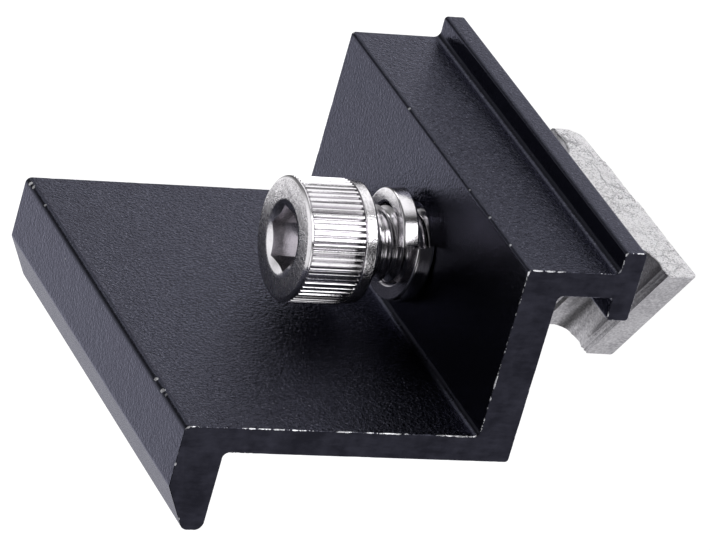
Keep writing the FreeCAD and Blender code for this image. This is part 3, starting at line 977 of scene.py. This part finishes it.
def steel_material():
    g = Graph(bpy.data.materials.new("stainless_steel"))
    matte = g.stored("matte")
    painted_groove_shade = g.stored("painted_groove_shade")
    scuff = g.noise(700.0, 4.0, 0.65)
    speck = g.noise(3300.0, 3.0, 0.65)
    grain = g.math("MULTIPLY", speck, g.math("ADD", 0.12, g.math("MULTIPLY", matte, 0.88)))
    normal = g.bump(g.noise(2400.0, 3.0, 0.6), strength=0.10, depth=0.02 * MM)
    normal = g.bump(scuff, strength=0.12, depth=0.05 * MM, normal=normal)
    normal = g.bump(grain, strength=0.8, depth=0.06 * MM, normal=normal)
    spots = g.math("ADD", speck, g.math("MULTIPLY", scuff, 0.8))
    spots = g.math("MULTIPLY", g.ramp(spots, 0.75, 1.15, 0.0, 0.75),
                   g.math("ADD", 0.10, g.math("MULTIPLY", matte, 0.70)))
    # Darker at dirt spots, and where painted shade fills the head's grooves
    dark = g.math("MAXIMUM", spots, g.math("MULTIPLY", painted_groove_shade, 0.45))
    colour = g.blend(dark, STEEL_CLEAN, STEEL_DIRT_AND_SHADE)
    rough = g.math("ADD", g.ramp(scuff, 0.3, 0.7, 0.10, 0.22), g.math("MULTIPLY", matte, 0.10))
    g.surface(g.metal(colour, rough, normal))
    return g.owner


def aluminium_material():
    g = Graph(bpy.data.materials.new("raw_aluminium"))
    rough = g.noise(900.0, 6.0, 0.75)
    fine = g.noise(3400.0, 3.0, 0.65)
    patch = g.noise(260.0, 3.0, 0.55)

    # Cracks: borders of warped cells, and one ragged line along the tear; they raise bumps and
    # darken the colour as painted shade
    bend = g.node("ShaderNodeTexNoise", {"Scale": 500.0, "Detail": 3.0})
    g.link(g.place.outputs["Object"], bend.inputs["Vector"])
    warp = g.node("ShaderNodeVectorMath", operation="MULTIPLY_ADD")
    g.link(bend.outputs["Color"], warp.inputs[0])
    warp.inputs[1].default_value = (1.1 * MM, 1.1 * MM, 1.1 * MM)
    g.link(g.place.outputs["Object"], warp.inputs[2])
    cells = g.node("ShaderNodeTexVoronoi", {"Scale": 420.0}, feature="DISTANCE_TO_EDGE")
    g.link(warp.outputs["Vector"], cells.inputs["Vector"])
    crack = g.math("MULTIPLY", g.ramp(cells.outputs["Distance"], 0.010, 0.045, 1.0, 0.0),
                   g.ramp(patch, 0.40, 0.62))
    ragged = g.math("ADD", g.stored("torn"), g.ramp(bend.outputs["Fac"], 0.3, 0.7, -0.30, 0.30))
    tear = g.ramp(g.math("ABSOLUTE", ragged), 0.03, 0.15, 1.0, 0.0)
    crack = g.math("MAXIMUM", crack, tear)

    # Sawn ends: bright, with painted shade in the pits, the cracks and along the tear
    pit_shade = g.math("ADD", g.noise(5600.0, 2.0, 0.7), g.math("MULTIPLY", rough, 0.5))
    pit_shade = g.math("MULTIPLY", g.ramp(pit_shade, 0.62, 0.76, 1.0, 0.0),
                  g.ramp(patch, 0.40, 0.62, 0.45, 1.0))
    pit_shade = g.math("MAXIMUM", pit_shade, g.math("MULTIPLY", crack, 0.65))
    cut_colour = g.blend(pit_shade, SAWN_BRIGHT, SAWN_PIT_SHADE)
    cut_normal = g.bump(rough, strength=1.0, depth=0.25 * MM)
    cut_normal = g.bump(crack, strength=0.6, depth=0.10 * MM, normal=cut_normal)
    cut = g.metal(cut_colour, 0.6, cut_normal)

    # Extruded skin: duller, with faint streaks along the bar
    along = g.node("ShaderNodeMapping", {
        "Rotation": (0.0, 0.0, NUT_BAR_TURN), "Scale": (1.0 / 260.0, 1.0 / 1500.0, 1.0 / 1500.0),
    }, vector_type="TEXTURE")
    g.link(g.place.outputs["Object"], along.inputs["Vector"])
    drawn = g.noise(1.0, 4.0, 0.65, along.outputs["Vector"])
    worn = g.math("ADD", fine, g.math("MULTIPLY", patch, 0.35))
    worn = g.math("ADD", g.math("MULTIPLY", drawn, 0.08), worn)
    skin_colour = g.blend(g.ramp(worn, 0.50, 0.88), SKIN_DULL, SKIN_BRIGHT)
    skin_normal = g.bump(drawn, strength=0.01, depth=0.01 * MM)
    skin_normal = g.bump(fine, strength=0.8, depth=0.06 * MM, normal=skin_normal)
    skin = g.metal(skin_colour, 0.42, skin_normal)
    g.surface(g.mix_shaders(g.stored("sawn"), skin, cut))
    return g.owner


def floor_material():
    g = Graph(bpy.data.materials.new("light_table"))
    glow = g.node("ShaderNodeEmission", {"Color": FLOOR_GLOW, "Strength": 0.97})
    paper = g.node("ShaderNodeBsdfDiffuse", {"Color": FLOOR_PAPER})
    both = g.node("ShaderNodeAddShader")
    g.link(glow.outputs["Emission"], both.inputs[0])
    g.link(paper.outputs["BSDF"], both.inputs[1])
    g.surface(both.outputs["Shader"])
    return g.owner


STEEL = steel_material()
for piece, body, node, slot_name, material in (
    (clamp_detail(), "clamp", "clamp_body", "black_anodised", anodised_material()),
    (screw_detail(), "screw", "cap_screw", "stainless_steel", STEEL),
    (washer_detail(), "washer", "spring_washer", "stainless_steel", STEEL),
    (nut_detail(), "nut", "rail_nut", "raw_aluminium", aluminium_material()),
):
    piece.data.materials.clear()
    piece.data.materials.append(material)
    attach(piece, body)
    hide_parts(node)

# Floor: a lit white sheet just under the part, which neither mirrors nor shades it
FLOOR_HALF = 2.0
FLOOR_GAP = 0.4 * MM
FLOOR_Z = CAD_BOX[0].z - FLOOR_GAP
floor = make_object("floor", [
    (-FLOOR_HALF, -FLOOR_HALF, FLOOR_Z), (FLOOR_HALF, -FLOOR_HALF, FLOOR_Z),
    (FLOOR_HALF, FLOOR_HALF, FLOOR_Z), (-FLOOR_HALF, FLOOR_HALF, FLOOR_Z),
], [(0, 1, 2, 3)])
floor.data.materials.append(floor_material())
floor.visible_glossy = False
floor.visible_diffuse = False
floor.visible_shadow = False

# Light. The photograph's object lies on its lip, so the room's upward direction is tilted here.
ROOM_UP = Vector((0.965, 0.0, 0.262)).normalized()
ROOM_LIGHT = (-0.9, 0.9, 0.02, 0.05)

# Soft boxes: direction, its cosine where the box starts and where it is full, and strength
SOFTBOXES = [
    (Vector((0.70, -0.57, -0.43)), 0.91, 0.945, 2.8),
    (Vector((0.60, 0.79, 0.13)), 0.965, 0.990, 1.9),
    (Vector((-0.44, 0.79, 0.43)), 0.80, 0.96, 0.80),
    (Vector((-1.0, -1.0, -1.0)), 0.55, 0.95, 0.66),
    (Vector((-0.60, 0.79, -0.13)), 0.80, 0.95, 0.48),
    (Vector((-0.89, 0.14, -0.43)), 0.75, 0.95, 0.50),
    (Vector((0.79, 0.44, -0.43)), 0.80, 0.96, 1.10),
    (Vector((0.0, 0.0, 1.0)), 0.60, 0.95, 0.85),
    (Vector((1.0, 0.0, 1.0)), 0.60, 0.95, 0.13),
    (Vector((-0.26, -0.86, -0.43)), 0.82, 0.96, 0.75),
    (Vector((0.0, 1.0, 1.0)), 0.70, 0.95, 0.15),
    (Vector((0.0, 1.0, -1.0)), 0.70, 0.95, 0.74),
]


def light_world():
    world = bpy.data.worlds.new("studio")
    bpy.context.scene.world = world
    g = Graph(world, "ShaderNodeOutputWorld")

    def spread(direction, low, high, to_low, to_high):
        dot = g.node("ShaderNodeVectorMath", operation="DOT_PRODUCT")
        dot.inputs[1].default_value = direction.normalized()
        g.link(g.place.outputs["Generated"], dot.inputs[0])
        return g.ramp(dot.outputs["Value"], low, high, to_low, to_high,
                      interpolation_type="SMOOTHSTEP")

    level = spread(ROOM_UP, *ROOM_LIGHT)
    for direction, low, high, strength in SOFTBOXES:
        level = g.math("ADD", level, spread(direction, low, high, 0.0, strength))
    tint = g.node("ShaderNodeCombineColor")
    for channel in range(3):
        g.link(level, tint.inputs[channel])
    background = g.node("ShaderNodeBackground")
    g.link(tint.outputs["Color"], background.inputs["Color"])
    g.surface(background.outputs["Background"])


light_world()

# Camera, solved from the corners of the clamp in the photograph
CAMERA_PLACE = Vector((0.30266, -0.55087, 0.31761))
CAMERA_RIGHT = Vector((0.24965, -0.35207, -0.90207))
CAMERA_UP = Vector((0.86305, 0.50333, 0.04240))
SENSOR_WIDTH = 36.0
FOCAL_LENGTH = 343.96
NEAREST_SEEN = 0.01

camera_data = bpy.data.cameras.new("camera")
camera_data.sensor_width = SENSOR_WIDTH
camera_data.lens = FOCAL_LENGTH
camera_data.clip_start = NEAREST_SEEN
camera = link_object("camera", camera_data)
right = CAMERA_RIGHT.normalized()
up = (CAMERA_UP - right * CAMERA_UP.dot(right)).normalized()
turn = Matrix((right, up, right.cross(up))).transposed().to_4x4()
camera.matrix_world = Matrix.Translation(CAMERA_PLACE) @ turn
bpy.context.scene.camera = camera
bpy.context.scene.view_settings.view_transform = "Standard"
